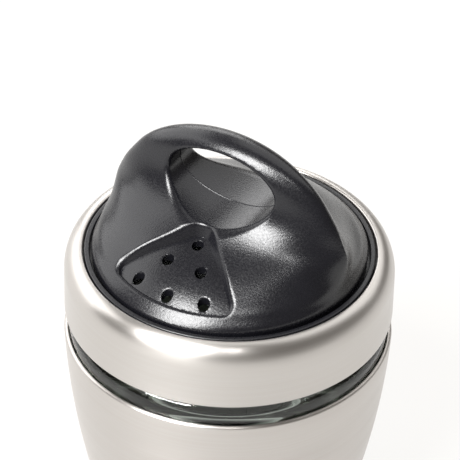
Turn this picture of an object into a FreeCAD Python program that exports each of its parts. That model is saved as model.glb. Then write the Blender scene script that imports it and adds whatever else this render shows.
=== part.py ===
import FreeCAD, Part
import math
import os

# Spice shaker: a barrel-shaped glass jar in a steel sleeve, and a screw lid with a
# steel collar whose black dial turns to bring six shaker holes over a window.
# Millimetres. The jar stands on Z = 0, its axis is Z, the dial's handle runs along X
# and the shaker pocket faces -Y.

os.makedirs("parts", exist_ok=True)
V = FreeCAD.Vector

# Driving heights
sleeve_top_height = 50.0     # top edge of the jar's steel sleeve over the table
glass_band_height = 5.2      # bare glass between the sleeve and the lid's collar
collar_height = 14.8         # steel collar, edge to edge
dial_height = 28.75          # crest of the handle over the collar's top edge

# Driving radius, which all the round pieces follow outwards and inwards
neck_radius = 29.8           # outside of the glass neck, under its thread

# Sheet, glass and moulding walls
steel_wall = 0.6
glass_wall = 3.0
moulded_wall = 2.0
skirt_wall = 1.5

# Fits and gaps
running_clearance = 0.06     # dial hub in the lid's bore, on the radius
slide_gap = 0.3              # dial over the lid's deck
seal_gap = 0.1               # rubber to what it wipes or presses on
glue_gap = 0.4               # sleeve round the glass
glue_skin = 0.03             # bead to either wall
thread_gap = 1.4             # neck to skirt, room for the two threads
rib_reach = 1.6              # ribs from the skirt out to the collar
sleeve_stand_out = 0.1       # sleeve's top over the collar, on the radius
neck_draw = 0.7              # dial's edge inside the outside of the neck
rim_width = 1.15             # lid's rim between the dial and the collar
trim_gap = 0.3               # collar mouth to the lid's rim
dial_gap = 0.45              # dial edge to the lid's rim
shoulder_gap = 0.5           # collar's foot over the glass shoulder
overrun = 5.0                # how far a cutter runs past what it cuts

# Glass jar
neck_wall = 2.8
waist_draw = 2.8             # barrel's half-way radius inside its top radius
base_draw = 9.0              # barrel's radius at the table inside its top radius
foot_draw = 5.0              # foot ring inside the barrel's radius at the table
foot_width = 3.0
foot_push_up = 1.6
foot_corner = 5.0
glass_floor = 4.5
floor_corner = 6.0
shoulder_corner = 2.8
neck_fillet = 0.9
lip_round = 1.0
bead_width = 2.6             # bead at the foot of the neck
bead_depth = 0.5

# Steel sleeve
sleeve_foot_gap = 1.2        # sleeve's lower edge over the table
sleeve_edge_round = 0.7      # both edges roll in over the glass

# Adhesive beads between sleeve and glass
bead_heights_share = (0.14, 0.90)
adhesive_height = 2.4

# Lid collar
shoulder_drop = 5.0          # height of the collar's soft shoulder
collar_lip = 2.0             # mouth edge turned down onto the lid's deck
collar_edge_round = 0.4
collar_hem = 1.5

# Lid insert
deck_wall = 1.8
rim_recess = 0.1             # rim under the collar's mouth edge
rim_round = 0.3
rib_count = 18
rib_width = 1.6
window_clearance = 0.3
seal_wall = 0.9
seal_depth = 0.8
seal_width = 1.4
seal_side_gap = 0.05

# Jar gasket
gasket_thickness = 1.0
gasket_side_gap = 0.3

# Dial: the handle's opening and the recessed shaker pocket
tunnel_half_width = 12.8
tunnel_half_height = 7.0
bar_depth = 2.45             # handle's bar over the opening
tunnel_round = 0.9
edge_step = 0.15             # break between the dial's dome and its lower edge
pocket_apex = 8.1            # sharp apex of the fan, from the axis
pocket_side_angle = 49.0     # each side of the fan, from the centre line
pocket_edge = 1.9            # pocket's arc inside the dial's edge
pocket_apex_round = 5.3
pocket_corner_round = 3.3
pocket_floor_inset = 2.7     # where the floor's height is given, inside the arc
pocket_floor_height = 3.46
pocket_floor_bend = 45.0     # the floor is part of a ball about the dial's axis
pocket_floor_wall = 1.6
pocket_foot_round = 0.8      # floor into the pocket's wall
pocket_lip_round = 0.5       # pocket's wall into the dome
chute_inset = 0.8
hole_radius = 1.25
hole_row_shares = (          # row's radius and half spacing as shares of pocket_radius
    (0.474, 0.000),
    (0.662, 0.146),
    (0.846, 0.291),
    (0.902, 0.000),
)
tube_wall = 1.4              # wall left round the pocket inside the dial
rib_wall = 1.4               # web inside the dial, along the handle
hub_radius = 5.0
pilot_radius = 1.5

# Screw, washer and wave spring under the deck
screw_radius = 1.75
screw_head_radius = 3.6
screw_head_height = 2.2
screw_length = 12.0
screw_tip_room = 1.0
head_round = 1.1
washer_bore_gap = 0.25
slot_width = 0.9
slot_depth = 1.1
washer_radius = 8.0
washer_thickness = 0.8
spring_height = 1.5
spring_strip = 0.35
spring_inner_gap = 0.4
spring_width = 2.2
spring_waves = 3
wave_points = 36

# Horizontal sections of the dial: height, half length and half width as shares of
# the dial's height and radius, then the exponent that draws in the section's tips
section_shares = (
    (0.000, 1.000, 1.000, 0.50),
    (0.040, 0.985, 0.966, 0.46),
    (0.077, 0.976, 0.931, 0.48),
    (0.120, 0.971, 0.888, 0.51),
    (0.175, 0.969, 0.825, 0.61),
    (0.250, 0.971, 0.716, 0.74),
    (0.320, 0.964, 0.577, 0.79),
    (0.380, 0.943, 0.458, 0.80),
    (0.430, 0.921, 0.378, 0.75),
    (0.510, 0.880, 0.280, 0.63),
    (0.610, 0.814, 0.214, 0.53),
    (0.710, 0.739, 0.187, 0.50),
    (0.810, 0.629, 0.175, 0.50),
    (0.900, 0.480, 0.148, 0.50),
    (0.960, 0.315, 0.105, 0.50),
    (0.990, 0.161, 0.055, 0.50),
    (1.000, 0.056, 0.020, 0.50),
)
section_points = 15
quarter_pull_share = 0.5523  # pull of a curve's poles that draws a quarter ellipse
tiny = overrun / 5000        # two points nearer than this are one point
cavity_top_share = 0.71

# Heights that follow
collar_foot_height = sleeve_top_height + glass_band_height
rim_height = collar_foot_height + collar_height
deck_top = rim_height - collar_lip
deck_underside = deck_top - deck_wall
gasket_top = deck_underside - seal_gap
gasket_underside = gasket_top - gasket_thickness
neck_top = gasket_underside - seal_gap
shoulder_top = collar_foot_height - shoulder_gap
skirt_foot_height = collar_foot_height + steel_wall
dial_underside = deck_top + slide_gap
hub_foot_height = deck_underside - spring_height
washer_underside = hub_foot_height - washer_thickness
dial_base = rim_height
tunnel_centre_height = dial_height - bar_depth - tunnel_half_height

# Radii that follow
neck_bore_radius = neck_radius - neck_wall
skirt_bore_radius = neck_radius + thread_gap
skirt_radius = skirt_bore_radius + skirt_wall
collar_inside = skirt_radius + rib_reach
collar_radius = collar_inside + steel_wall
sleeve_top_radius = collar_radius + sleeve_stand_out
sleeve_waist_radius = sleeve_top_radius - waist_draw
sleeve_base_radius = sleeve_top_radius - base_draw
foot_radius = sleeve_base_radius - foot_draw
dial_radius = neck_radius - neck_draw
rim_inside = dial_radius + dial_gap
rim_radius = rim_inside + rim_width
collar_mouth_radius = rim_radius + trim_gap
pocket_radius = dial_radius - pocket_edge
pocket_floor_radius = pocket_radius - pocket_floor_inset
bore_radius = hub_radius + running_clearance
window_inset = chute_inset - window_clearance
groove_inset = window_inset - seal_wall


def rz(radius, height):
    return V(radius, 0, height)


def straight(*points):
    """Straight profile edges through (radius, height) points."""
    edges = []
    for start, end in zip(points, points[1:]):
        edges.append(Part.LineSegment(rz(*start), rz(*end)).toShape())
    return edges


def quarter(start, end, centre):
    """Quarter-round profile edge from start to end about the centre point."""
    half = math.sqrt(0.5)
    middle = [c + half * (s + e - 2 * c) for s, e, c in zip(start, end, centre)]
    return [Part.Arc(rz(*start), rz(*middle), rz(*end)).toShape()]


def bow(start, middle, end):
    return [Part.Arc(rz(*start), rz(*middle), rz(*end)).toShape()]


def rounded(start, corner, end):
    """Quarter-ellipse profile edge that leaves and arrives along the corner's two sides."""
    poles = [rz(*start)]
    for point in (start, end):
        poles.append(rz(*[p + quarter_pull_share * (c - p) for p, c in zip(point, corner)]))
    poles.append(rz(*end))
    curve = Part.BezierCurve()
    curve.setPoles(poles)
    return [curve.toShape()]


def revolve(edges):
    """Solid of revolution about the jar's axis of a closed profile."""
    face = Part.Face(Part.Wire(edges))
    return face.revolve(V(0, 0, 0), V(0, 0, 1), 360)


def ring(inner, outer, foot, top):
    """Plain washer or tube between two radii and two heights."""
    return revolve(straight((inner, foot), (outer, foot), (outer, top), (inner, top), (inner, foot)))


def cylinder(radius, foot, top):
    return Part.makeCylinder(radius, top - foot, V(0, 0, foot))


def export(shape, name):
    if shape.ShapeType == "Compound" and len(shape.Solids) == 1:
        shape = shape.Solids[0]
    shape.exportStep("parts/" + name + ".step")
    print(name, len(shape.Solids), "solids", round(shape.Volume, 1), "mm3", shape.isValid())


def barrel_radius(height):
    """Outside radius of the sleeve at a height: the circle through its three radii."""
    points = (
        (sleeve_top_radius, sleeve_top_height),
        (sleeve_waist_radius, sleeve_top_height / 2),
        (sleeve_base_radius, 0.0),
    )
    (x1, y1), (x2, y2), (x3, y3) = points
    twice_area = 2 * (x1 * (y2 - y3) + x2 * (y3 - y1) + x3 * (y1 - y2))
    s1, s2, s3 = (x * x + y * y for x, y in points)
    cx = (s1 * (y2 - y3) + s2 * (y3 - y1) + s3 * (y1 - y2)) / twice_area
    cy = (s1 * (x3 - x2) + s2 * (x1 - x3) + s3 * (x2 - x1)) / twice_area
    big = math.hypot(x1 - cx, y1 - cy)
    return cx + math.sqrt(big * big - (height - cy) ** 2)


def barrel_bow(inset, start, end):
    """Profile arc that follows the sleeve's outer face at a steady inset."""
    points = []
    for height in (start, (start + end) / 2, end):
        points.append((barrel_radius(height) - inset, height))
    return bow(*points)


def make_glass_jar():
    """Pressed jar: footed base, barrel sides, rounded shoulder and an upright neck."""
    inset = steel_wall + glue_gap
    side_radius = barrel_radius(foot_corner) - inset
    band_radius = barrel_radius(sleeve_top_height) - inset
    band_top = shoulder_top - shoulder_corner
    shoulder_radius = band_radius - shoulder_corner
    neck_root = shoulder_top + neck_fillet
    bead_top = neck_root + bead_width
    outer_lip = neck_radius - lip_round
    inner_lip = neck_bore_radius + lip_round
    inner_inset = inset + glass_wall
    inner_radius = barrel_radius(sleeve_top_height) - inner_inset
    floor_side = glass_floor + floor_corner
    floor_radius = barrel_radius(floor_side) - inner_inset - floor_corner
    foot_inner = foot_radius - foot_width
    edges = (
        straight(
            (0, foot_push_up),
            (foot_inner, foot_push_up / 2),
            (foot_inner + foot_width / 2, 0),
            (foot_radius, 0),
        )
        + rounded((foot_radius, 0), (side_radius, 0), (side_radius, foot_corner))
        + barrel_bow(inset, foot_corner, sleeve_top_height)
        + straight((band_radius, sleeve_top_height), (band_radius, band_top))
        + quarter((band_radius, band_top), (shoulder_radius, shoulder_top), (shoulder_radius, band_top))
        + straight((shoulder_radius, shoulder_top), (neck_radius + neck_fillet, shoulder_top))
        + quarter(
            (neck_radius + neck_fillet, shoulder_top),
            (neck_radius, neck_root),
            (neck_radius + neck_fillet, neck_root),
        )
        + bow(
            (neck_radius, neck_root),
            (neck_radius + bead_depth, (neck_root + bead_top) / 2),
            (neck_radius, bead_top),
        )
        + straight((neck_radius, bead_top), (neck_radius, neck_top - lip_round))
        + quarter(
            (neck_radius, neck_top - lip_round),
            (outer_lip, neck_top),
            (outer_lip, neck_top - lip_round),
        )
        + straight((outer_lip, neck_top), (inner_lip, neck_top))
        + quarter(
            (inner_lip, neck_top),
            (neck_bore_radius, neck_top - lip_round),
            (inner_lip, neck_top - lip_round),
        )
        + straight((neck_bore_radius, neck_top - lip_round), (neck_bore_radius, shoulder_top))
        + rounded(
            (neck_bore_radius, shoulder_top),
            (inner_radius, shoulder_top),
            (inner_radius, sleeve_top_height),
        )
        + barrel_bow(inner_inset, sleeve_top_height, floor_side)
        + quarter(
            (floor_radius + floor_corner, floor_side),
            (floor_radius, glass_floor),
            (floor_radius, floor_side),
        )
        + straight((floor_radius, glass_floor), (0, glass_floor), (0, foot_push_up))
    )
    return revolve(edges)


def sleeve_edge(radius, height, way):
    """Rolled edge of the sleeve from its outer face round to its inner one."""
    roll = radius - sleeve_edge_round
    bend = sleeve_edge_round - steel_wall
    edge = height + way * sleeve_edge_round
    return (
        quarter((radius, height), (roll, edge), (roll, height))
        + quarter((roll, edge), (roll - bend, edge - way * bend), (roll, edge - way * bend))
        + straight((roll - bend, edge - way * bend), (roll - bend, height), (radius - steel_wall, height))
    )


def make_jar_sleeve():
    """Drawn steel barrel, open at both ends, with both edges rolled in."""
    lower = sleeve_foot_gap + sleeve_edge_round
    upper = sleeve_top_height - sleeve_edge_round
    foot_edge = sleeve_edge(barrel_radius(lower), lower, -1)
    edges = (
        barrel_bow(0, lower, upper)
        + sleeve_edge(barrel_radius(upper), upper, 1)
        + barrel_bow(steel_wall, upper, lower)
        + foot_edge[::-1]
    )
    return revolve(edges)


def make_sleeve_adhesive():
    """Two beads of glue that fill the gap between the sleeve and the glass."""
    beads = []
    for share in bead_heights_share:
        foot = sleeve_top_height * share - adhesive_height / 2
        top = foot + adhesive_height
        outer = steel_wall + glue_skin
        inner = steel_wall + glue_gap - glue_skin
        edges = (
            barrel_bow(outer, foot, top)
            + straight((barrel_radius(top) - outer, top), (barrel_radius(top) - inner, top))
            + barrel_bow(inner, top, foot)
            + straight((barrel_radius(foot) - inner, foot), (barrel_radius(foot) - outer, foot))
        )
        beads.append(revolve(edges))
    return Part.makeCompound(beads)


def make_lid_collar():
    """Drawn steel ring: soft shoulder, mouth edge turned down, foot turned in."""
    foot = collar_foot_height
    mouth = collar_mouth_radius
    shoulder = rim_height - shoulder_drop
    crest = mouth + collar_edge_round
    edges = (
        straight((mouth, deck_top), (mouth, rim_height - collar_edge_round))
        + quarter(
            (mouth, rim_height - collar_edge_round),
            (crest, rim_height),
            (crest, rim_height - collar_edge_round),
        )
        + rounded((crest, rim_height), (collar_radius, rim_height), (collar_radius, shoulder))
        + straight((collar_radius, shoulder), (collar_radius, foot + steel_wall))
        + quarter(
            (collar_radius, foot + steel_wall),
            (collar_inside, foot),
            (collar_inside, foot + steel_wall),
        )
        + straight(
            (collar_inside, foot),
            (collar_radius - collar_hem, foot),
            (collar_radius - collar_hem, skirt_foot_height),
            (collar_inside, skirt_foot_height),
            (collar_inside, shoulder),
        )
        + rounded(
            (collar_inside, shoulder),
            (collar_inside, rim_height - steel_wall),
            (mouth + steel_wall, rim_height - steel_wall),
        )
        + straight(
            (mouth + steel_wall, rim_height - steel_wall),
            (mouth + steel_wall, deck_top),
            (mouth, deck_top),
        )
    )
    return revolve(edges)


def upright_edges(solid, least_x, most_x):
    """The solid's upright edges whose distance from the X = 0 plane is in a range."""
    found = []
    for edge in solid.Edges:
        ends = [vertex.Point for vertex in edge.Vertexes]
        if len(ends) != 2 or abs(ends[0].z - ends[1].z) < tiny:
            continue
        leans = math.hypot(ends[0].x - ends[1].x, ends[0].y - ends[1].y) > tiny
        if not leans and least_x <= abs(ends[0].x) <= most_x:
            found.append(edge)
    return found


def fan_prism(inset, foot, top):
    """Upright prism of the pocket's fan outline, drawn in by an even inset."""
    angle = math.radians(pocket_side_angle)
    apex = pocket_apex + inset / math.sin(angle)
    radius = pocket_radius - inset
    side = math.sqrt(radius * radius - (apex * math.sin(angle)) ** 2) - apex * math.cos(angle)
    corner_x = side * math.sin(angle)
    corner_y = -apex - side * math.cos(angle)
    edges = [
        Part.LineSegment(V(0, -apex, foot), V(corner_x, corner_y, foot)).toShape(),
        Part.Arc(
            V(corner_x, corner_y, foot), V(0, -radius, foot), V(-corner_x, corner_y, foot)
        ).toShape(),
        Part.LineSegment(V(-corner_x, corner_y, foot), V(0, -apex, foot)).toShape(),
    ]
    prism = Part.Face(Part.Wire(edges)).extrude(V(0, 0, top - foot))
    prism = prism.makeFillet(pocket_apex_round - inset, upright_edges(prism, 0, tiny))
    corners = upright_edges(prism, corner_x - tiny, corner_x + tiny)
    return prism.makeFillet(pocket_corner_round - inset, corners)


def make_lid_insert():
    """Moulded inner cap: threaded skirt, deck with bore and window, rim round the dial."""
    rim_top = rim_height - rim_recess
    edges = (
        straight(
            (bore_radius, deck_underside),
            (skirt_bore_radius, deck_underside),
            (skirt_bore_radius, skirt_foot_height),
            (skirt_radius, skirt_foot_height),
            (skirt_radius, deck_top),
            (rim_radius, deck_top),
            (rim_radius, rim_top - rim_round),
        )
        + quarter(
            (rim_radius, rim_top - rim_round),
            (rim_radius - rim_round, rim_top),
            (rim_radius - rim_round, rim_top - rim_round),
        )
        + straight((rim_radius - rim_round, rim_top), (rim_inside + rim_round, rim_top))
        + quarter(
            (rim_inside + rim_round, rim_top),
            (rim_inside, rim_top - rim_round),
            (rim_inside + rim_round, rim_top - rim_round),
        )
        + straight(
            (rim_inside, rim_top - rim_round),
            (rim_inside, deck_top),
            (bore_radius, deck_top),
            (bore_radius, deck_underside),
        )
    )
    insert = revolve(edges)
    rib_top = rim_height - shoulder_drop
    rib_room = ring(skirt_radius - skirt_wall / 2, collar_inside, skirt_foot_height, rib_top)
    ribs = []
    for index in range(rib_count):
        bar = Part.makeBox(collar_radius, rib_width, rib_top, V(0, -rib_width / 2, 0))
        bar.rotate(V(0, 0, 0), V(0, 0, 1), 360 * index / rib_count)
        ribs.append(bar.common(rib_room))
    insert = insert.fuse(ribs).removeSplitter()
    window = fan_prism(window_inset, deck_underside - overrun, deck_top + overrun)
    return insert.cut([window, seal_ring(0, deck_top - seal_depth, deck_top + overrun)])


def seal_ring(side_gap, foot, top):
    """Fan-shaped ring round the window, narrowed by a gap on both sides."""
    outer = fan_prism(groove_inset - seal_width + side_gap, foot, top)
    inner = fan_prism(groove_inset - side_gap, foot - overrun, top + overrun)
    return outer.cut(inner)


def make_deck_seal():
    return seal_ring(seal_side_gap, deck_top - seal_depth, dial_underside - seal_gap)


def make_jar_gasket():
    outer = skirt_bore_radius - gasket_side_gap
    return ring(neck_bore_radius + gasket_side_gap, outer, gasket_underside, gasket_top)


def dial_section(share_row, inset):
    """Closed section of the dial at one height, as a front and a back half."""
    height_share, length_share, width_share, exponent = share_row
    height = dial_base + dial_height * height_share
    length = dial_radius * length_share - inset
    width = dial_radius * width_share - inset
    halves = []
    for side in (-1, 1):
        points = []
        for step in range(section_points):
            turn = math.pi * step / (section_points - 1)
            reach = math.sin(turn) ** (2 * exponent) if 0 < step < section_points - 1 else 0
            points.append(V(side * length * math.cos(turn), side * width * reach, height))
        curve = Part.BSplineCurve()
        curve.interpolate(Points=points)
        halves.append(curve.toShape())
    return Part.Wire(halves)


def dial_loft(inset, top_share):
    """The dial's domed form, from its lower edge to a share of its height."""
    sections = []
    for row in section_shares:
        if row[0] <= top_share:
            sections.append(dial_section(row, inset))
    return Part.makeLoft(sections, True, False)


def tunnel_prism(outset):
    """Oval bar through the handle, front to back, grown by an even outset."""
    ellipse = Part.Ellipse(
        V(0, 0, dial_base + tunnel_centre_height),
        tunnel_half_width + outset,
        tunnel_half_height + outset,
    )
    wire = Part.Wire(ellipse.toShape())
    wire.rotate(V(0, 0, dial_base + tunnel_centre_height), V(1, 0, 0), 90)
    reach = dial_radius + overrun
    wire.translate(V(0, reach, 0))
    return Part.Face(wire).extrude(V(0, -2 * reach, 0))


def floor_ball(drop):
    """Ball whose crown is the pocket's bowed floor, its radius lessened by a drop."""
    rise = math.sqrt(pocket_floor_bend ** 2 - pocket_floor_radius ** 2)
    return Part.makeSphere(pocket_floor_bend - drop, V(0, 0, dial_base + pocket_floor_height - rise))


def floor_edges(pocket):
    """Edges where the pocket's floor meets its wall."""
    lowest = min(pocket.Faces, key=lambda face: face.CenterOfMass.z)
    return lowest.Edges


def mouth_edges(shell):
    """Edges of the handle's opening, front and back."""
    found = []
    for edge in shell.Edges:
        box = edge.BoundBox
        inside = box.XMax < tunnel_half_width + tiny and box.ZMin > dial_base + tunnel_round
        if inside and box.XLength > tunnel_half_width:
            found.append(edge)
    return found


def lip_edges(shell):
    """Edges where the pocket opens through the dome's front face."""
    fronts = [face for face in shell.Faces if face.BoundBox.YMax < moulded_wall]
    dome = max(fronts, key=lambda face: face.Area)
    found = []
    for edge in dome.Edges:
        box = edge.BoundBox
        below = box.ZMin > dial_base + tiny and box.ZMax < dial_base + tunnel_centre_height
        if below and box.YMax < -moulded_wall:
            found.append(edge)
    return found


def make_grip_dial():
    """Moulded dial: domed disc and arched handle in one, cored out from below."""
    top = dial_base + dial_height
    shell = dial_loft(0, 1).cut(tunnel_prism(0))
    shell = shell.makeFillet(tunnel_round, mouth_edges(shell))
    pocket = fan_prism(0, dial_base - overrun, top).cut(floor_ball(0))
    pocket = pocket.makeFillet(pocket_foot_round, floor_edges(pocket))
    shell = shell.cut(pocket)
    shell = shell.makeFillet(pocket_lip_round, lip_edges(shell))
    edge_disc = cylinder(dial_radius - edge_step, dial_underside, dial_base + edge_step)
    shell = shell.fuse(edge_disc)

    tunnel_housing = tunnel_prism(moulded_wall)
    pocket_housing = fan_prism(-tube_wall, dial_underside - overrun, top)
    reach = dial_radius + overrun
    web = Part.makeBox(2 * reach, rib_wall, top, V(-reach, -rib_wall / 2, 0))
    hub_core = cylinder(hub_radius, dial_underside - overrun, top)
    core_radius = dial_radius - moulded_wall - edge_step
    core_disc = cylinder(core_radius, dial_underside - overrun, dial_base + edge_step)
    core = dial_loft(moulded_wall, cavity_top_share).fuse(core_disc)
    core = core.cut([tunnel_housing, pocket_housing, web, hub_core])

    chute = fan_prism(chute_inset, dial_underside - overrun, top)
    chute = chute.common(floor_ball(pocket_floor_wall))
    holes = []
    for radius_share, spacing_share in hole_row_shares:
        for side in (-1, 1) if spacing_share else (1,):
            hole = cylinder(hole_radius, dial_underside, top)
            hole.translate(V(side * spacing_share, -radius_share, 0) * pocket_radius)
            holes.append(hole)
    hub = cylinder(hub_radius, hub_foot_height, dial_base)
    pilot_top = washer_underside + screw_length + screw_tip_room
    pilot = cylinder(pilot_radius, hub_foot_height - overrun, pilot_top)
    return shell.cut([core, chute] + holes).fuse(hub).cut(pilot)


def make_pivot_screw():
    """Pan-head screw, driven up into the dial's hub, with a cross slot in its head."""
    foot = washer_underside - screw_head_height
    tip = washer_underside + screw_length
    edges = (
        straight((0, foot), (screw_head_radius - head_round, foot))
        + quarter(
            (screw_head_radius - head_round, foot),
            (screw_head_radius, foot + head_round),
            (screw_head_radius - head_round, foot + head_round),
        )
        + straight(
            (screw_head_radius, foot + head_round),
            (screw_head_radius, washer_underside),
            (screw_radius, washer_underside),
            (screw_radius, tip - screw_radius),
            (0, tip),
            (0, foot),
        )
    )
    screw = revolve(edges)
    slots = []
    for quarter_turn in (0, 90):
        slot = Part.makeBox(
            screw_head_radius,
            slot_width,
            slot_depth + overrun,
            V(-screw_head_radius / 2, -slot_width / 2, foot - overrun),
        )
        slot.rotate(V(0, 0, 0), V(0, 0, 1), quarter_turn)
        slots.append(slot)
    return screw.cut(slots)


def make_pivot_washer():
    return ring(screw_radius + washer_bore_gap, washer_radius, washer_underside, hub_foot_height)


def wavy_circle(radius, foot, swing):
    """Closed circle that rises and falls by a swing, a few waves to the turn."""
    points = []
    for step in range(wave_points):
        turn = 2 * math.pi * step / wave_points
        height = foot + swing * (1 + math.cos(spring_waves * turn))
        points.append(V(radius * math.cos(turn), radius * math.sin(turn), height))
    curve = Part.BSplineCurve()
    curve.interpolate(Points=points, PeriodicFlag=True)
    return curve.toShape()


def make_wave_spring():
    """Wave washer between the plain washer and the underside of the deck."""
    inner = hub_radius + spring_inner_gap
    outer = inner + spring_width
    swing = (spring_height - seal_gap - spring_strip) / 2
    loop = []
    for radius, lift in ((inner, 0), (outer, 0), (outer, spring_strip), (inner, spring_strip)):
        loop.append(wavy_circle(radius, hub_foot_height + lift, swing))
    faces = []
    for first, second in zip(loop, loop[1:] + loop[:1]):
        faces.append(Part.makeRuledSurface(first, second))
    spring = Part.makeSolid(Part.makeShell(faces))
    if spring.Volume < 0:
        spring.reverse()
    return spring


export(make_glass_jar(), "glass_jar")
export(make_jar_sleeve(), "jar_sleeve")
export(make_sleeve_adhesive(), "sleeve_adhesive")
export(make_jar_gasket(), "jar_gasket")
export(make_lid_collar(), "lid_collar")
export(make_lid_insert(), "lid_insert")
export(make_deck_seal(), "deck_seal")
export(make_grip_dial(), "grip_dial")
export(make_pivot_screw(), "pivot_screw")
export(make_pivot_washer(), "pivot_washer")
export(make_wave_spring(), "wave_spring")
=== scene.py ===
import math

import bpy
import numpy as np
from mathutils import Euler, Matrix, Vector


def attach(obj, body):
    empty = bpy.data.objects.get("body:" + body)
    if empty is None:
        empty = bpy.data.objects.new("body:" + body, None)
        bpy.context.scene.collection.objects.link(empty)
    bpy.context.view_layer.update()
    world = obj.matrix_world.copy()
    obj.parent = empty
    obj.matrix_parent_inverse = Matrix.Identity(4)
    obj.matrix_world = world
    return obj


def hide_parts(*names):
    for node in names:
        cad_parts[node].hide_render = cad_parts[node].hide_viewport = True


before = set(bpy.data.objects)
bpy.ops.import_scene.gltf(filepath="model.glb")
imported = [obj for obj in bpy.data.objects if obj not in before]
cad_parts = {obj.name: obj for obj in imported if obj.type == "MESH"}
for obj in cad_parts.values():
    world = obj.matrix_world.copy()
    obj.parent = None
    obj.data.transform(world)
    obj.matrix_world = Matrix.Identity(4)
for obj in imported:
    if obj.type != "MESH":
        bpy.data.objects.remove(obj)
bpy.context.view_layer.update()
scene = bpy.context.scene

# Camera
# A long lens from the front and right of the shaker, a little over it. Its place and
# turn are those that put the lid's round edges where the photograph shows them.
rim_centre = Vector((0, 0, 0.070))
picture_px = 460
focal_px = 3500
rim_offset_px = 17.28
camera_reach = 0.7356
camera_roll = 0.025
azimuth = math.radians(31)
elevation = 0.659
away = Vector(
    (
        math.sin(azimuth) * math.cos(elevation),
        -math.cos(azimuth) * math.cos(elevation),
        math.sin(elevation),
    )
)
lens = bpy.data.cameras.new("camera")
lens.sensor_width = 36
lens.lens = focal_px / picture_px * lens.sensor_width
lens.clip_start = 0.01
camera = bpy.data.objects.new("camera", lens)
aim = Euler((math.pi / 2 - elevation, 0, azimuth)).to_matrix().to_4x4()
roll = Matrix.Rotation(camera_roll, 4, "Z")
tilt = Matrix.Rotation(math.atan(rim_offset_px / focal_px), 4, "X")
camera.matrix_world = Matrix.Translation(rim_centre + away * camera_reach) @ aim @ roll @ tilt
scene.collection.objects.link(camera)
scene.camera = camera
scene.view_settings.view_transform = "Standard"


# Studio
# White card under and round the shaker glows a little, but not under its foot, where the glow
# fades out into painted shade, a soft contact shadow. Soft boxes stand in front, a small one
# to its right, and large ones to the left, behind and over it.
def linear(tone, alpha=1.0):
    """Linear colour of an sRGB hex value: each channel over 0.04045 goes by a power of 2.4."""
    parts = [int(tone[i : i + 2], 16) / 255 for i in (1, 3, 5)]
    return [p / 12.92 if p <= 0.04045 else ((p + 0.055) / 1.055) ** 2.4 for p in parts] + [alpha]


def add_node(tree, kind, inputs=None, **settings):
    """One shader node with its settings. An input is a value, or another node's output."""
    made = tree.nodes.new("ShaderNode" + kind)
    for name, value in settings.items():
        setattr(made, name, value)
    for name, value in (inputs or {}).items():
        if isinstance(value, bpy.types.NodeSocket):
            tree.links.new(value, made.inputs[name])
        else:
            made.inputs[name].default_value = value
    return made


def start_material(name, inputs):
    """A new material with one surface shader. Returns it with its tree and that shader."""
    finish = bpy.data.materials.new(name)
    finish.use_nodes = True
    tree = finish.node_tree
    tree.nodes.clear()
    shader = add_node(tree, "BsdfPrincipled", inputs)
    add_node(tree, "OutputMaterial", {"Surface": shader.outputs[0]})
    return finish, tree, shader


def add_mesh(name, points, faces, finish, sharp=35):
    """An object at the origin from points in mm and faces, smooth but for edges over an angle."""
    mesh = bpy.data.meshes.new(name)
    mesh.from_pydata((np.asarray(points) / 1000).tolist(), [], faces)
    mesh.shade_smooth()
    mesh.set_sharp_from_angle(angle=math.radians(sharp))
    mesh.materials.append(finish)
    piece = bpy.data.objects.new(name, mesh)
    scene.collection.objects.link(piece)
    return piece


card, tree, shader = start_material(
    "white_card",
    {
        "Base Color": linear("#4e4d4c"),
        "Roughness": 0.9,
        "Emission Color": linear("#f4f3f1"),
    },
)
# The glow fades from full at lit_radius to none at dark_radius round the foot: painted contact
# shadow.
dark_radius, lit_radius, card_glow = 0.021, 0.034, 0.97
place = add_node(tree, "TexCoord").outputs["Object"]
from_foot = add_node(tree, "VectorMath", {0: place}, operation="LENGTH")
glow = add_node(
    tree,
    "MapRange",
    {0: from_foot.outputs["Value"], 1: dark_radius, 2: lit_radius, 3: 0.0, 4: card_glow},
)
tree.links.new(glow.outputs[0], shader.inputs["Emission Strength"])
card_half = 2500
card_corners = [(x * card_half, y * card_half, 0) for x, y in ((-1, -1), (1, -1), (1, 1), (-1, 1))]
floor = add_mesh("floor", card_corners, [(0, 1, 2, 3)], card)

world = bpy.data.worlds.new("tent")
world.use_nodes = True
tent = world.node_tree.nodes["Background"]
tent.inputs["Color"].default_value = linear("#f2e9df")
tent.inputs["Strength"].default_value = 0.17
scene.world = world


def soft_box(name, turn, rise, reach, width, height, radiance):
    """A rectangular soft light, turned to face the lid. turn is degrees round from the front
    to the right and rise is degrees up, both seen from the lid. The sizes are in metres, and
    its power is pi times its radiance times its area."""
    turn, rise = math.radians(turn), math.radians(rise)
    level = math.cos(rise)
    toward = Vector((math.sin(turn) * level, -math.cos(turn) * level, math.sin(rise)))
    light = bpy.data.lights.new(name, "AREA")
    light.shape = "RECTANGLE"
    light.size, light.size_y = width, height
    light.energy = radiance * math.pi * width * height
    box = bpy.data.objects.new(name, light)
    box.location = rim_centre + toward * reach
    box.rotation_euler = (-toward).to_track_quat("-Z", "Y").to_euler()
    scene.collection.objects.link(box)


soft_box("key_box", -11, 45.5, 0.9, 0.46, 0.52, 29)
soft_box("right_box", 36, 55, 0.9, 0.08, 0.12, 26)
soft_box("left_box", -92, 28, 0.8, 0.85, 0.7, 2.4)
soft_box("back_box", -142, 22, 0.9, 0.5, 0.4, 3.2)
soft_box("top_box", 172, 54, 0.9, 0.9, 0.9, 1.3)


# Glass jar
# Pressed soda-lime glass: footed base, barrel sides, rounded shoulder and an upright
# neck with a bead and one turn of thread. A band of it shows between the two steels.
def line(start, end, gap=0.5):
    """Points along a straight run of a profile, no further apart than the gap."""
    count = max(2, int(math.dist(start, end) / gap) + 2)
    return np.linspace(start, end, count)


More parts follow.
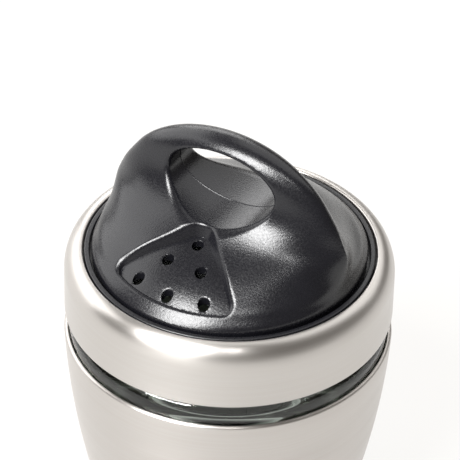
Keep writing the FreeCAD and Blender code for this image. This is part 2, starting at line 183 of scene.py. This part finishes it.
def bend(start, corner, end, count=14):
    """Quarter ellipse of a profile that leaves and arrives along the corner's two sides."""
    start, corner, end = (np.array(p, float) for p in (start, corner, end))
    centre = start + end - corner
    turn = np.linspace(0, math.pi / 2, count)[:, None]
    return centre + np.cos(turn) * (start - centre) + np.sin(turn) * (end - centre)


def barrel(inset, start, end, gap=0.8):
    """Points down the barrel's side: the circle through its three radii, drawn in by an inset."""
    count = int(abs(end - start) / gap) + 2
    height = np.linspace(start, end, count)
    (x1, y1), (x2, y2), (x3, y3) = (35.0, 50.0), (32.2, 25.0), (26.0, 0.0)
    twice_area = 2 * (x1 * (y2 - y3) + x2 * (y3 - y1) + x3 * (y1 - y2))
    s1, s2, s3 = (x * x + y * y for x, y in ((x1, y1), (x2, y2), (x3, y3)))
    cx = (s1 * (y2 - y3) + s2 * (y3 - y1) + s3 * (y1 - y2)) / twice_area
    cy = (s1 * (x3 - x2) + s2 * (x1 - x3) + s3 * (x2 - x1)) / twice_area
    big = math.hypot(x1 - cx, y1 - cy)
    return np.stack([cx + np.sqrt(big**2 - (height - cy) ** 2) - inset, height], 1)


def profile(*runs):
    """One run of (radius, height) points from several, without repeated points."""
    points = np.concatenate([np.atleast_2d(run) for run in runs])
    keep = np.ones(len(points), bool)
    keep[1:] = np.hypot(*np.diff(points, axis=0).T) > 0.001
    return points[keep]


def lathe(name, outline, finish, steps=288, relief=None, sharp=35):
    """Surface of revolution: each (radius, height) point of the outline, in mm, carried
    round the axis in even steps. An outline that starts and ends on the axis gets a point
    at each pole, and any other closes on itself. relief(radius, angle, height) is added
    to the radius."""
    closed = outline[0, 0] > 0.001
    if closed and np.allclose(outline[0], outline[-1], atol=0.001):
        outline = outline[:-1]
    rows = outline if closed else outline[1:-1]
    angle = 2 * math.pi * np.arange(steps) / steps
    radius, height = (np.repeat(rows[:, i : i + 1], steps, 1) for i in (0, 1))
    if relief:
        radius = radius + relief(radius, angle[None, :], height)
    points = np.stack([radius * np.cos(angle), radius * np.sin(angle), height], -1).reshape(-1, 3)
    index = np.arange(len(points)).reshape(-1, steps)
    low, high = (index, np.roll(index, -1, 0)) if closed else (index[:-1], index[1:])
    ahead = [np.roll(part, -1, 1) for part in (low, high)]
    faces = np.stack([low, ahead[0], ahead[1], high], -1).reshape(-1, 4).tolist()
    if not closed:
        first, last = len(points), len(points) + 1
        points = np.vstack([points, [(0, 0, outline[0, 1]), (0, 0, outline[-1, 1])]])
        faces += [[first, j, i] for i, j in zip(index[0], np.roll(index[0], -1))]
        faces += [[last, i, j] for i, j in zip(index[-1], np.roll(index[-1], -1))]
    return add_mesh(name, points, faces, finish, sharp)


glass_radius = 34.0
neck_radius = 29.8
bore_radius = 27.0
shoulder_top = 54.7
bead_middle, bead_half, bead_depth = 56.9, 1.3, 0.5
bead_top = 58.2
lip_top = 65.0
lip_start = 64.0
base_top = 4.5
thread_pitch = 4.5
thread_foot = 59.3
thread_depth = 1.1
thread_half = 0.95
flank_width = 0.45


def thread_ridge(radius, angle, height):
    """One right-handed turn of thread on the neck: a ridge whose middle climbs one pitch in
    a turn, with flanks eased by 3 s^2 - 2 s^3 and a run-in of 0.35 radians at each end."""
    on_neck = (np.abs(radius - neck_radius) < 0.01) & (height > bead_top)
    middle = thread_foot + thread_pitch * angle / (2 * math.pi)
    flank = np.clip((thread_half - np.abs(height - middle)) / flank_width, 0, 1)
    run_in = np.clip(np.minimum(angle, 2 * math.pi - angle) / 0.35, 0, 1)
    ease = flank * flank * (3 - 2 * flank) * run_in * run_in * (3 - 2 * run_in)
    return thread_depth * ease * on_neck


glass = start_material(
    "soda_lime_glass",
    {
        "Base Color": linear("#f2f8f3"),
        "Roughness": 0.02,
        "IOR": 1.52,
        "Transmission Weight": 1.0,
    },
)[0]
foot_side = barrel(1.0, 5.0, 5.0)[0, 0]
inner_side = barrel(4.0, 50.0, 10.5)
base_side = inner_side[-1, 0]
base_flat = base_side - 6.0
over_bead = np.linspace(-1, 1, 17)
jar_outline = profile(
    [(0, 1.6)],
    line((0, 1.6), (18.0, 0.8), 3),
    line((18.0, 0.8), (19.5, 0)),
    line((19.5, 0), (21.0, 0)),
    bend((21.0, 0), (foot_side, 0), (foot_side, 5.0), 20),
    barrel(1.0, 5.0, 50.0),
    line((glass_radius, 50.0), (glass_radius, 51.9)),
    bend((glass_radius, 51.9), (glass_radius, shoulder_top), (31.2, shoulder_top)),
    line((31.2, shoulder_top), (30.7, shoulder_top)),
    bend((30.7, shoulder_top), (neck_radius, shoulder_top), (neck_radius, 55.6), 8),
    np.stack([neck_radius + bead_depth * (1 - over_bead**2), bead_middle + bead_half * over_bead], 1),
    line((neck_radius, bead_top), (neck_radius, lip_start), 0.11),
    bend((neck_radius, lip_start), (neck_radius, lip_top), (28.8, lip_top)),
    line((28.8, lip_top), (28.0, lip_top)),
    bend((28.0, lip_top), (bore_radius, lip_top), (bore_radius, lip_start)),
    line((bore_radius, lip_start), (bore_radius, shoulder_top)),
    bend((bore_radius, shoulder_top), (inner_side[0, 0], shoulder_top), tuple(inner_side[0]), 24),
    inner_side,
    bend(tuple(inner_side[-1]), (base_side, base_top), (base_flat, base_top), 18),
    line((base_flat, base_top), (0, base_top), 3),
)
jar = lathe("glass_body", jar_outline, glass, relief=thread_ridge)
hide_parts("glass_jar")
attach(jar, "jar")


# Steel sleeve and collar
# Drawn 18/8 stainless sheet, brushed round the axis on a lathe, so the lines run level
# and a light stretches up and down. The sleeve's edges roll in over the glass.
lines_per_metre = 3300
line_height = 0.000002


def brushed_steel(name, tone, roughness):
    """Stainless steel with level brushed lines. The lines' coordinate is height less radius,
    which keeps growing over the soft shoulder. Real lines are 0.05 mm apart, too fine to
    show, so they are drawn 0.3 mm apart."""
    finish, tree, shader = start_material(
        name,
        {
            "Metallic": 1.0,
            "Anisotropic": 0.75,
            "Anisotropic Rotation": 0.25,
        },
    )
    place = add_node(tree, "TexCoord").outputs["Object"]
    split = add_node(tree, "SeparateXYZ", {0: place})
    flat = add_node(tree, "CombineXYZ", {0: split.outputs[0], 1: split.outputs[1]})
    radius = add_node(tree, "VectorMath", {0: flat.outputs[0]}, operation="LENGTH")
    climb = add_node(
        tree,
        "Math",
        {0: split.outputs[2], 1: radius.outputs["Value"]},
        operation="SUBTRACT",
    )
    stretched = add_node(
        tree,
        "CombineXYZ",
        {0: split.outputs[0], 1: split.outputs[1], 2: climb.outputs[0]},
    )
    scaled = add_node(
        tree,
        "Mapping",
        {0: stretched.outputs[0], "Scale": (12, 12, lines_per_metre)},
    )
    lines = add_node(
        tree,
        "TexNoise",
        {"Vector": scaled.outputs[0], "Scale": 1.0, "Detail": 1.5, "Roughness": 0.6},
    )
    broad = add_node(tree, "Mapping", {0: stretched.outputs[0], "Scale": (30, 30, 160)})
    cloud = add_node(tree, "TexNoise", {"Vector": broad.outputs[0], "Scale": 1.0, "Detail": 2.0})
    tones = add_node(
        tree,
        "Mix",
        {0: lines.outputs[0], 6: linear(tone), 7: linear("#c9c6c2")},
        data_type="RGBA",
    )
    tree.links.new(tones.outputs[2], shader.inputs["Base Color"])
    gloss = add_node(
        tree,
        "MapRange",
        {0: cloud.outputs[0], 1: 0.3, 2: 0.7, 3: roughness - 0.04, 4: roughness + 0.04},
    )
    tree.links.new(gloss.outputs[0], shader.inputs["Roughness"])
    bump = add_node(
        tree,
        "Bump",
        {"Strength": 0.35, "Distance": line_height, "Height": lines.outputs[0]},
    )
    tree.links.new(bump.outputs[0], shader.inputs["Normal"])
    round_axis = add_node(tree, "Tangent", direction_type="RADIAL", axis="Z")
    tree.links.new(round_axis.outputs[0], shader.inputs["Tangent"])
    return finish


sleeve_steel = brushed_steel("brushed_sleeve_steel", "#c3bdb8", 0.33)
collar_steel = brushed_steel("brushed_collar_steel", "#c4bfba", 0.32)


sleeve_wall = 0.6
sleeve_foot, sleeve_top = 1.9, 49.3
edge_round, edge_curl = 0.7, 0.1


def rolled_edge(radius, height, way):
    """The sleeve's edge from its outer face over the roll to its inner face."""
    roll, edge = radius - edge_round, height + way * edge_round
    tip = roll - edge_curl
    return np.concatenate(
        [
            bend((radius, height), (radius, edge), (roll, edge), 10),
            bend((roll, edge), (tip, edge), (tip, edge - way * edge_curl), 4),
            line((tip, edge - way * edge_curl), (tip, height)),
            line((tip, height), (radius - sleeve_wall, height)),
        ]
    )


sleeve = lathe(
    "steel_sleeve",
    profile(
        barrel(0, sleeve_foot, sleeve_top),
        rolled_edge(barrel(0, sleeve_top, sleeve_top)[0, 0], sleeve_top, 1),
        barrel(sleeve_wall, sleeve_top, sleeve_foot),
        rolled_edge(barrel(0, sleeve_foot, sleeve_foot)[0, 0], sleeve_foot, -1)[::-1],
    ),
    sleeve_steel,
)
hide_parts("jar_sleeve")
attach(sleeve, "jar")

collar_outer, collar_inner = 34.9, 34.3
collar_top, under_top, bend_start = 70.0, 69.4, 65.0
mouth_inner, mouth_outer, mouth_foot = 31.0, 31.6, 68.0
hem_inner, hem_top, hem_foot = 33.4, 55.8, 55.2
collar = lathe(
    "steel_collar",
    profile(
        line((mouth_inner, mouth_foot), (mouth_inner, 69.6)),
        bend((mouth_inner, 69.6), (mouth_inner, collar_top), (31.4, collar_top), 8),
        bend((31.4, collar_top), (collar_outer, collar_top), (collar_outer, bend_start), 32),
        line((collar_outer, bend_start), (collar_outer, hem_top)),
        bend((collar_outer, hem_top), (collar_outer, hem_foot), (collar_inner, hem_foot), 8),
        line((collar_inner, hem_foot), (hem_inner, hem_foot)),
        line((hem_inner, hem_foot), (hem_inner, hem_top)),
        line((hem_inner, hem_top), (collar_inner, hem_top)),
        line((collar_inner, hem_top), (collar_inner, bend_start)),
        bend((collar_inner, bend_start), (collar_inner, under_top), (mouth_outer, under_top), 24),
        line((mouth_outer, under_top), (mouth_outer, mouth_foot)),
        line((mouth_outer, mouth_foot), (mouth_inner, mouth_foot)),
    )[::-1],
    collar_steel,
)
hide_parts("lid_collar")
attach(collar, "lid")


# Black mouldings
# Polypropylene from a spark-eroded mould: near black, with a fine leather grain and a
# soft gloss. The cap under the dial has the same finish with less grain.
def moulded_black(name, tone, roughness, grain_depth):
    """Moulded plastic whose grain is about 0.4 mm across, from fine noise in its height and
    its gloss. Its tone changes a little over 5 mm."""
    finish, tree, shader = start_material(name, {"IOR": 1.49})
    place = add_node(tree, "TexCoord").outputs["Object"]
    cells = add_node(
        tree,
        "TexNoise",
        {"Vector": place, "Scale": 2600.0, "Detail": 2.0, "Roughness": 0.55},
    )
    cloud = add_node(tree, "TexNoise", {"Vector": place, "Scale": 180.0, "Detail": 3.0})
    tones = add_node(
        tree,
        "Mix",
        {0: cloud.outputs[0], 6: linear(tone), 7: linear("#141418")},
        data_type="RGBA",
    )
    tree.links.new(tones.outputs[2], shader.inputs["Base Color"])
    gloss = add_node(
        tree,
        "MapRange",
        {0: cells.outputs[0], 1: 0.3, 2: 0.7, 3: roughness - 0.05, 4: roughness + 0.07},
    )
    tree.links.new(gloss.outputs[0], shader.inputs["Roughness"])
    bump = add_node(
        tree,
        "Bump",
        {"Strength": 0.6, "Distance": grain_depth, "Height": cells.outputs[0]},
    )
    tree.links.new(bump.outputs[0], shader.inputs["Normal"])
    return finish


dial_plastic = moulded_black("grained_black_plastic", "#0b0b0f", 0.25, 0.00005)
insert_plastic = moulded_black("moulded_black_plastic", "#0e0e11", 0.30, 0.000008)

# Dial
# The domed disc, its arched handle, the finger opening and the sunken fan of holes are
# one moulding, cored out from below round a hub that turns in the lid.
dial_base = 70.0
dial_height = 28.75
dial_radius = 29.1
# Level sections of the dome and the handle: height, half length and half width as parts of
# the dial's height and radius, and the exponent of the curve, which is an ellipse at 0.5.
dial_sections = np.array(
    [
        (0.000, 1.000, 1.000, 0.50),
        (0.040, 0.985, 0.966, 0.46),
        (0.077, 0.976, 0.931, 0.48),
        (0.120, 0.971, 0.888, 0.51),
        (0.175, 0.969, 0.825, 0.61),
        (0.250, 0.971, 0.716, 0.74),
        (0.320, 0.964, 0.577, 0.79),
        (0.380, 0.943, 0.458, 0.80),
        (0.430, 0.921, 0.378, 0.75),
        (0.510, 0.880, 0.280, 0.63),
        (0.610, 0.814, 0.214, 0.53),
        (0.710, 0.739, 0.187, 0.50),
        (0.810, 0.629, 0.175, 0.50),
        (0.900, 0.480, 0.148, 0.50),
        (0.960, 0.315, 0.105, 0.50),
        (0.990, 0.161, 0.055, 0.50),
        (1.000, 0.056, 0.020, 0.50),
    ]
)


def spline(knots, rows, at):
    """Natural cubic spline through rows of values: its bends are solved so that the slope
    runs on evenly through every knot."""
    step = np.diff(knots)
    rise = np.diff(rows, axis=0) / step[:, None]
    system = np.eye(len(knots))
    inner = np.arange(1, len(knots) - 1)
    system[inner, inner - 1] = step[:-1]
    system[inner, inner] = 2 * (step[:-1] + step[1:])
    system[inner, inner + 1] = step[1:]
    target = np.zeros_like(rows)
    target[inner] = 6 * np.diff(rise, axis=0)
    curve = np.linalg.solve(system, target)
    k = np.clip(np.searchsorted(knots, at, side="right") - 1, 0, len(step) - 1)
    a = ((knots[k + 1] - at) / step[k])[:, None]
    b = 1 - a
    bow = ((a**3 - a) * curve[k] + (b**3 - b) * curve[k + 1]) * step[k][:, None] ** 2 / 6
    return a * rows[k] + b * rows[k + 1] + bow


curve_steps = 3000
section_rows = dial_sections * [dial_height, dial_radius, dial_radius, 1]
section_rows[:, 0] += dial_base
chords = np.r_[0, np.cumsum(np.linalg.norm(np.diff(section_rows[:, :3], axis=0), axis=1))]
section_curve = spline(chords, section_rows, np.linspace(0, chords[-1], curve_steps))
section_curve[:, 0] = np.maximum.accumulate(section_curve[:, 0]) + np.arange(curve_steps) * 1e-7
section_slopes = np.gradient(section_curve[:, 1:], section_curve[:, 0], axis=0)


def dome_depth(x, y, z, inset):
    """Distance from the dial's domed form, less than 0 inside. A level section at height z is
    the curve where (x / length)^2 + (y / width)^(1 / exponent) is 1, and that value less 1
    over its own steepness is the distance near the surface."""
    level = section_curve[:, 0]
    length, width, exponent = (np.interp(z, level, section_curve[:, i]) for i in (1, 2, 3))
    d_length, d_width, d_exponent = (np.interp(z, level, section_slopes[:, i]) for i in (0, 1, 2))
    length, width = np.maximum(length - inset, 0.2), np.maximum(width - inset, 0.1)
    power = 1 / exponent
    along = x / length
    across = np.maximum(np.abs(y) / width, 1e-9)
    raised = across**power
    value = along**2 + raised - 1
    slope_x = 2 * along / length
    slope_y = power * raised / across / width
    slope_z = -2 * along**2 * d_length / length - power * raised * d_width / width
    slope_z = slope_z - raised * np.log(across) * power**2 * d_exponent
    return value / np.sqrt(slope_x**2 + slope_y**2 + slope_z**2 + 1e-9)


def common(a, b, radius):
    """Distance from what two solids share, the edge where they meet rounded to a radius."""
    sunk = np.hypot(np.maximum(a + radius, 0), np.maximum(b + radius, 0))
    return np.minimum(-radius, np.maximum(a, b)) + sunk


fan_side = math.radians(49.0)
fan_apex, fan_front = 8.0, 27.4
apex_round, corner_round = 3.6, 3.5


def fan_depth(x, y, inset):
    """Distance in plan from the pocket's fan: inside two sides that meet at an apex and
    inside a circle, with the apex and the corners rounded."""
    sides = [way * x * math.cos(fan_side) + (y + fan_apex) * math.sin(fan_side) for way in (-1, 1)]
    wedge = common(sides[0], sides[1], apex_round)
    return common(wedge, np.hypot(x, y) - fan_front, corner_round) + inset


# Six holes, single ones on the middle line and pairs beside it, by distance from the axis.
hole_places = []
for row_radius, half_gap in ((12.89, 0), (18.01, 3.97), (23.01, 7.92), (24.53, 0)):
    for way in (-1, 1) if half_gap else (1,):
        hole_places.append((way * half_gap, -row_radius))


# Sizes in mm. tunnel_centre, ball_level and disc_top are heights over the dial's base, and
# disc_foot, hub_foot and screw_top are heights over the table.
hole_radius, hole_round = 1.25, 0.12
tunnel_half_width, tunnel_half_height = 12.8, 7.0
tunnel_centre = 19.3
tunnel_draft, undrafted_at = 0.035, 6.0
tunnel_round = 0.9
ball_radius = 45.0
ball_reach, ball_level = 24.5, 3.46
front_start, front_width = 22.0, 3.0
floor_bow = 0.016
wall_inset, wall_lean = 1.38, 0.40
lip_round, front_lip_more = 0.40, 0.4
disc_radius, disc_foot, disc_top = 28.95, 68.3, 0.15
shell_wall, core_radius, core_top = 2.0, 26.95, 0.71
fan_wall, rib_half = 1.4, 0.7
chute_inset, floor_wall = 0.8, 1.6
hub_radius, hub_foot = 5.0, 64.7
screw_radius, screw_top = 1.5, 76.9


def dial_depth(x, y, z):
    """Distance from the whole dial, less than 0 inside: the dome less the oval opening, the
    pocket and the holes, on an edge disc and a hub, and cored out from below. The opening
    widens with its draft. The pocket's floor is a ball's top that sinks further by a square
    near the front, and its walls lean out by a share of their height over that floor."""
    rise = z - dial_base
    dome = np.maximum(dome_depth(x, y, z, 0), np.maximum(rise - dial_height, -rise))
    draft = tunnel_draft * (np.abs(y) - undrafted_at)
    half_width, half_height = tunnel_half_width + draft, tunnel_half_height + draft
    up = rise - tunnel_centre
    oval = (x / half_width) ** 2 + (up / half_height) ** 2
    tunnel = (oval - 1) / (2 * np.sqrt(x**2 / half_width**4 + up**2 / half_height**4) + 1e-6)
    solid = common(dome, -tunnel, tunnel_round)
    ball_drop = math.sqrt(ball_radius**2 - ball_reach**2)
    around = np.hypot(x, y)
    bowed = rise + floor_bow * np.maximum(around - front_start, 0) ** 2
    over_floor = np.hypot(around, bowed - ball_level + ball_drop) - ball_radius
    walls = fan_depth(x, y, wall_inset) - wall_lean * over_floor
    pocket = np.maximum(walls, -over_floor)
    front = np.clip((around - front_start) / front_width, 0, 1)
    solid = common(solid, -pocket, lip_round + front_lip_more * front)
    disc = np.maximum(around - disc_radius, np.maximum(disc_foot - z, rise - disc_top))
    solid = np.minimum(solid, disc)
    core = dome_depth(x, y, np.maximum(z, dial_base), shell_wall)
    core = np.maximum(core, rise - core_top * dial_height)
    core = np.where(rise < disc_top, around - core_radius, core)
    core = np.maximum(core, np.maximum(shell_wall - tunnel, fan_wall - fan_depth(x, y, 0)))
    core = np.maximum(core, np.maximum(rib_half - np.abs(y), hub_radius - around))
    chute = np.maximum(fan_depth(x, y, chute_inset), over_floor + floor_wall)
    solid = np.maximum(solid, -np.minimum(core, chute))
    for hole_x, hole_y in hole_places:
        hole = np.hypot(x - hole_x, y - hole_y) - hole_radius
        solid = common(solid, -hole, hole_round)
    hub = np.maximum(around - hub_radius, np.maximum(hub_foot - z, rise))
    solid = np.minimum(solid, hub)
    return np.maximum(solid, -np.maximum(around - screw_radius, z - screw_top))


halvings = 11
probe = 0.002
centre_pull = 0.03


def contour(depth, axes):
    """Points and faces of the closed surface where a distance is 0, on a grid of cells. Each
    grid edge that passes through the surface gets its crossing by halving, and the slope
    there. Each cell's point is the one nearest to the flat planes through its crossings,
    with a weak pull to their middle, which keeps edges crisp. Each crossing joins the
    points of its four cells."""
    inside = depth(*np.meshgrid(*axes, indexing="ij", sparse=True)) < 0
    cells_shape = [len(axis) - 1 for axis in axes]
    crossings, normals, quads = [], [], []
    for way in range(3):
        ahead, behind = [slice(None)] * 3, [slice(None)] * 3
        ahead[way], behind[way] = slice(1, None), slice(None, -1)
        corner = np.argwhere(inside[tuple(behind)] != inside[tuple(ahead)])
        start = np.stack([axes[i][corner[:, i]] for i in range(3)], 1)
        span = np.zeros_like(start)
        span[:, way] = axes[way][corner[:, way] + 1] - start[:, way]
        starts_inside = inside[tuple(corner.T)]
        low, high = np.zeros(len(start)), np.ones(len(start))
        for _ in range(halvings):
            middle = (low + high) / 2
            place = start + span * middle[:, None]
            same = (depth(*place.T) < 0) == starts_inside
            low, high = np.where(same, middle, low), np.where(same, high, middle)
        place = start + span * ((low + high) / 2)[:, None]
        nudges = np.eye(3) * probe
        slope = np.stack([depth(*(place + n).T) - depth(*(place - n).T) for n in nudges], 1)
        crossings.append(place)
        normals.append(slope / np.linalg.norm(slope, axis=1, keepdims=True))
        u, v = np.eye(3, dtype=int)[(way + 1) % 3], np.eye(3, dtype=int)[(way + 2) % 3]
        ring = np.stack([corner - u - v, corner - v, corner, corner - u], 1)
        ring = np.where(starts_inside[:, None, None], ring, ring[:, ::-1])
        quads.append(np.ravel_multi_index(tuple(ring.reshape(-1, 3).T), cells_shape).reshape(-1, 4))
    crossings, normals = np.concatenate(crossings), np.concatenate(normals)
    quads = np.concatenate(quads)
    cells, corner_cell = np.unique(quads, return_inverse=True)
    corner_cell = corner_cell.reshape(quads.shape)

    def gather(values):
        """Sum over each cell of the values at the crossings it shares."""
        return sum(np.bincount(corner_cell[:, i], values, len(cells)) for i in range(4))

    share = gather(np.ones(len(crossings)))
    middle = np.stack([gather(crossings[:, i]) / share for i in range(3)], 1)
    system, target = np.zeros((len(cells), 3, 3)), np.zeros((len(cells), 3))
    offset = np.einsum("ij,ij->i", normals, crossings)
    for i in range(3):
        target[:, i] = gather(normals[:, i] * offset)
        for j in range(3):
            system[:, i, j] = gather(normals[:, i] * normals[:, j])
    target -= np.einsum("nij,nj->ni", system, middle)
    system += np.eye(3) * (centre_pull * share)[:, None, None]
    points = middle + np.linalg.solve(system, target[:, :, None])[:, :, 0]
    cell = np.stack(np.unravel_index(cells, cells_shape), 1)
    for i in range(3):
        points[:, i] = np.clip(points[:, i], axes[i][cell[:, i]], axes[i][cell[:, i] + 1])
    return points, corner_cell


grid_shift = 0.0131


def graded(*runs):
    """Grid lines along one axis: each run of (start, end, step) is divided evenly. All are
    moved a little, so that none lies on a flat face."""
    counts = [round((end - start) / step) for start, end, step in runs]
    lines = [np.linspace(*run[:2], count, endpoint=False) for run, count in zip(runs, counts)]
    return np.concatenate(lines + [[runs[-1][1]]]) + grid_shift


# The grid is finest over the pocket, the holes and the foot of the handle.
grid_lines = [
    graded((-29.6, -21.0, 0.55), (-21.0, 21.0, 0.35), (21.0, 29.6, 0.55)),
    graded((-29.6, -7.0, 0.31), (-7.0, 29.6, 0.56)),
    graded((64.3, 70.9, 0.55), (70.9, 80.0, 0.33), (80.0, 99.4, 0.50)),
]
dial_points, dial_faces = contour(dial_depth, grid_lines)
dial = add_mesh("dial", dial_points, dial_faces.tolist(), dial_plastic, 40)
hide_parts("grip_dial")
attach(dial, "dial")

# The two halves of the mould meet in the middle of the finger opening, where they leave
# a thin line of flash. Its low rounded section is carried round the opening's oval, and
# each of its points is drawn in by its rise.
around_oval = np.linspace(0, 2 * math.pi, 160, endpoint=False)[:, None]
flash_half = np.array([-0.16, -0.10, 0.0, 0.10, 0.16, 0.0])
flash_rise = np.array([0.0, 0.07, 0.10, 0.07, 0.0, -0.12])
seam_width = tunnel_half_width - undrafted_at * tunnel_draft - flash_rise
seam_height = tunnel_half_height - undrafted_at * tunnel_draft - flash_rise
seam_points = np.stack(
    [
        seam_width * np.cos(around_oval),
        np.broadcast_to(flash_half, (len(around_oval), len(flash_half))),
        dial_base + tunnel_centre + seam_height * np.sin(around_oval),
    ],
    -1,
).reshape(-1, 3)
index = np.arange(len(seam_points)).reshape(len(around_oval), -1)
ahead = np.roll(index, -1, 0)
seam_faces = np.stack([index, ahead, np.roll(ahead, -1, 1), np.roll(index, -1, 1)], -1)
seam = add_mesh("mould_seam", seam_points, seam_faces.reshape(-1, 4).tolist(), dial_plastic, 80)
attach(seam, "dial")


# Lid thread
# The cap's skirt carries one right-handed ridge of thread, moulded in one with it. The
# ridge's section climbs one pitch in a turn, and it shrinks at both ends by 3 s^2 - 2 s^3.
skirt_radius, skirt_thread_foot = 31.2, 57.05
ridge_start, ridge_sweep = math.radians(95), math.radians(380)
along = np.linspace(0, 1, 241)[:, None]
angle = ridge_start + along * ridge_sweep
run_in = np.clip(np.minimum(along, 1 - along) / 0.05, 0.02, 1)
fullness = run_in * run_in * (3 - 2 * run_in)
section_in = np.array([0.25, 0.0, -0.85, -1.0, -0.85, 0.0, 0.25])
section_up = np.array([0.95, 0.95, 0.35, 0.0, -0.35, -0.95, -0.95])
ridge_radius = skirt_radius + np.where(section_in < 0, section_in * fullness, section_in)
climb = skirt_thread_foot + thread_pitch * angle / (2 * math.pi)
thread_points = np.stack(
    [
        ridge_radius * np.cos(angle),
        ridge_radius * np.sin(angle),
        climb + section_up * (0.3 + 0.7 * fullness),
    ],
    -1,
).reshape(-1, 3)
index = np.arange(len(thread_points)).reshape(len(angle), -1)
ring = np.roll(index, -1, 1)
thread_faces = np.stack([index[:-1], index[1:], ring[1:], ring[:-1]], -1).reshape(-1, 4).tolist()
thread_faces += [index[0].tolist(), index[-1][::-1].tolist()]
lid_thread = add_mesh("lid_thread", thread_points, thread_faces, insert_plastic)
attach(lid_thread, "lid")


# Inner pieces
# The cap moulding, silicone rings, glue, screw, washer and spring keep the shape that the
# frame gives them and get the finish of the real ones.
silicone = start_material(
    "cured_silicone",
    {"Base Color": linear("#e6e6e1"), "Roughness": 0.45, "IOR": 1.41, "Subsurface Weight": 0.2},
)[0]
glue = start_material(
    "cured_glue",
    {"Base Color": linear("#dcdcd2"), "Roughness": 0.3, "IOR": 1.48},
)[0]
zinc = start_material(
    "zinc_plate",
    {"Base Color": linear("#c3c5c6"), "Roughness": 0.25, "Metallic": 1.0},
)[0]
spring_steel = start_material(
    "spring_steel",
    {"Base Color": linear("#a9a9ab"), "Roughness": 0.3, "Metallic": 1.0},
)[0]
kept_nodes = {
    "lid_insert": insert_plastic,
    "jar_gasket": silicone,
    "deck_seal": silicone,
    "sleeve_adhesive": glue,
    "pivot_screw": zinc,
    "pivot_washer": zinc,
    "wave_spring": spring_steel,
}
for node_name, finish in kept_nodes.items():
    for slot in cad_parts[node_name].material_slots:
        slot.material = finish
